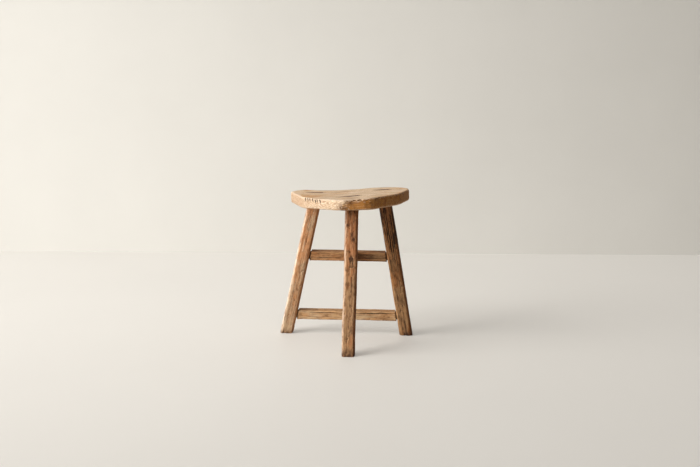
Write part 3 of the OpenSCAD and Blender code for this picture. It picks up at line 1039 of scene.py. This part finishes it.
leg_side, leg_front = half_section("front_leg")
under_seat = body_range("front_leg")[1] - 16 * MM

LEG_VOXEL = 1.0 * MM
STRETCHER_VOXEL = 0.8 * MM

make_bar("front_leg", FRONT_LEG_TONES, LEG_VOXEL, 1.4, 11, 0,
         cracks=[(FRONT, 9 * MM, 0.31, 0.37, 1.0 * MM, 3 * MM),
                 (RIGHT, 2 * MM, 0.20, 0.36, 1.2 * MM, 4 * MM),
                 (BACK, -4 * MM, 0.10, 0.28, 1.2 * MM, 4 * MM),
                 (LEFT, 4 * MM, 0.05, 0.17, 1.0 * MM, 3 * MM)],
         knots_and_shade_spots=[(-9 * MM, -leg_front, 0.384, 4.5 * MM), (3 * MM, -leg_front, 0.356, 4 * MM),
                (7 * MM, -leg_front, 0.342, 5 * MM), (2 * MM, -leg_front, 0.290, 4 * MM),
                # The two spots at under_seat are painted shade where the seat shadows the top of the leg.
                (-2 * MM, -leg_front, under_seat, 9 * MM), (9 * MM, -leg_front, under_seat, 7 * MM)],
         notches=[(leg_side, -leg_front + 5 * MM, 0.205, 6 * MM)], blotched=0.45)
make_bar("left_leg", LEFT_LEG_TONES, LEG_VOXEL, 1.3, 12, 1,
         cracks=[(FRONT, 3 * MM, 0.34, 0.43, 0.9 * MM, 3 * MM),
                 (FRONT, -6 * MM, 0.08, 0.20, 0.8 * MM, 3 * MM)])
make_bar("right_leg", RIGHT_LEG_TONES, LEG_VOXEL, 1.3, 13, 1,
         cracks=[(FRONT, -7 * MM, 0.31, 0.41, 2.4 * MM, 6 * MM),
                 (FRONT, -2 * MM, 0.25, 0.38, 2.8 * MM, 6 * MM),
                 (FRONT, 4 * MM, 0.24, 0.36, 2.6 * MM, 6 * MM),
                 (FRONT, 9 * MM, 0.27, 0.40, 1.8 * MM, 5 * MM),
                 (FRONT, 6 * MM, 0.14, 0.21, 1.2 * MM, 4 * MM)],
         blotched=0.25, streaks_and_shadow_from=0.26, dark=0.95)
make_bar("upper_stretcher", UPPER_TONES, STRETCHER_VOXEL, 1.0, 14, 2,
         cracks=[(LEFT, 4 * MM, 0.05, 0.16, 1.6 * MM, 4 * MM),
                 (LEFT, -4 * MM, 0.18, 0.29, 1.6 * MM, 4 * MM)],
         # Painted shadow of the front leg darkens the right part.
         streaks_and_shadow_from=0.16, dark=0.38)
make_bar("lower_stretcher", LOWER_TONES, STRETCHER_VOXEL, 1.1, 15, 2,
         cracks=[(LEFT, -9 * MM, 0.08, 0.21, 1.8 * MM, 4 * MM),
                 (LEFT, -9 * MM, 0.22, 0.355, 2.8 * MM, 6 * MM)],
         # Painted shadow of the front leg darkens the right part.
         streaks_and_shadow_from=0.20, dark=0.25, end_dirt_and_shade=0.45)
make_bar("centre_stretcher", CENTRE_TONES, STRETCHER_VOXEL, 0.9, 16, 2)
for number, holder in enumerate(WEDGE_OF):
    make_wedges(holder, 20 + 3 * number)


def tenon_tops():
    """Where the middle of each leg's tenon meets the seat's top, in the seat's frame."""
    places = []
    for leg in LEGS:
        to_local = to_local_of("seat") @ local_frame(leg)
        tenon = bar_solids(leg, to_local_of(leg))[-1]
        co = np.array([to_local @ v.co for v in tenon.verts])
        tenon.free()
        places.append(co[co[:, 1] > co[:, 1].max() - 6 * MM].mean(0))
    return places


def seat_cracks(seed):
    """A crack along the grain on both sides of each tenon, and a few finer ones in the seat's top. The two
    halves of a fine crack overlap in its middle."""
    random = np.random.default_rng(seed)
    blades = []
    places = [(x, z, 2.4, 16 * MM, 0.6) for x, _, z in tenon_tops()]
    places += [(x, z, width, -2 * MM, 1.2) for x, z, width in (
        (0.05, 0.02, 0.9), (-0.02, -0.11, 0.8), (0.10, -0.06, 0.9), (0.01, 0.10, 0.8), (-0.07, 0.06, 0.9))]
    for i, (x, z, width, from_middle, share) in enumerate(places):
        length = random.uniform(24, 32) * MM
        for side in (-1, 1):
            start = z + side * from_middle
            low, high = sorted((start, start + side * length * share))
            blades.append(crack_solid(SEAT_UP, SEAT_TOP - 1 * MM, -x + side * 2 * MM, low, high, width * MM,
                                      4 * MM, seed + 2 * i + side))
    return blades


def seat_stain(co):
    """How stained each point of the seat is: its crumbled edge, dirt round the tenons, dark smears along the
    grain, a patch at the front corner, blotches on the right front side and a darkened left end."""
    total = seat_decay(co)
    on_top = smooth_step(SEAT_TOP - 9 * MM, SEAT_TOP - 5 * MM, co[:, 1])
    for x, _, z in tenon_tops():
        away = np.hypot((co[:, 0] - x) / (10 * MM), (co[:, 2] - z) / (30 * MM))
        ragged = away + 0.45 * grain_noise(co, 3 * MM, 30 * MM, 61)
        total = np.maximum(total, on_top * smooth_step(1.15, 0.80, ragged))
    smears = smooth_step(0.30, 0.75, grain_noise(co, 9 * MM, 60 * MM, 63))
    total = np.maximum(total, 0.35 * on_top * smears)
    low_x, low_z, _ = RIM.point(CORNER_ANGLE)
    high_x, high_z, _ = RIM.point(CORNER_ANGLE + 6.5)
    patch = np.maximum(spots(co, [(low_x, 7 * MM, low_z, 11 * MM)]),
                       0.5 * spots(co, [(high_x, 22 * MM, high_z, 11 * MM)]))
    total = np.maximum(total, patch * (1.0 + grain_noise(co, 6 * MM, 8 * MM, 65)))
    blotches = smooth_step(0.0, 0.7, grain_noise(co, 12 * MM, 15 * MM, 64))
    on_side = smooth_step(6 * MM, 0, RIM.inset(co))
    front_right = on_side * smooth_step(-0.01, 0.03, co[:, 2]) * (co[:, 0] < 0)
    total = np.maximum(total, 0.50 * front_right * blotches)
    left_end = on_side * smooth_step(-0.06, -0.10, co[:, 2])
    return np.maximum(total, 0.07 * left_end)


def make_seat(seed):
    """Makes the seat. Its wood is cut from far out in a thick trunk, so its rings are wide and flat."""
    mesh = weathered_seat(1.5 * MM, seed)
    rings = dict(ring_gap=4.5 * MM, pith=(0.3, 0.25))
    surface = wood("seat_surface_wood", "seat", SEAT_TONES, seed, **rings)
    inside = wood("seat_crack_wood", "seat", SEAT_TONES, seed, shade=0.18, **rings)
    cutters = [cutter_mesh([blade]) for blade in gouges(7, 33) + seat_cracks(34)]
    finish_piece("worn_seat", "seat", mesh, cutters + mortise_cutters("seat", to_local_of("seat")),
                 [surface, inside], seat_stain)


make_seat(5)
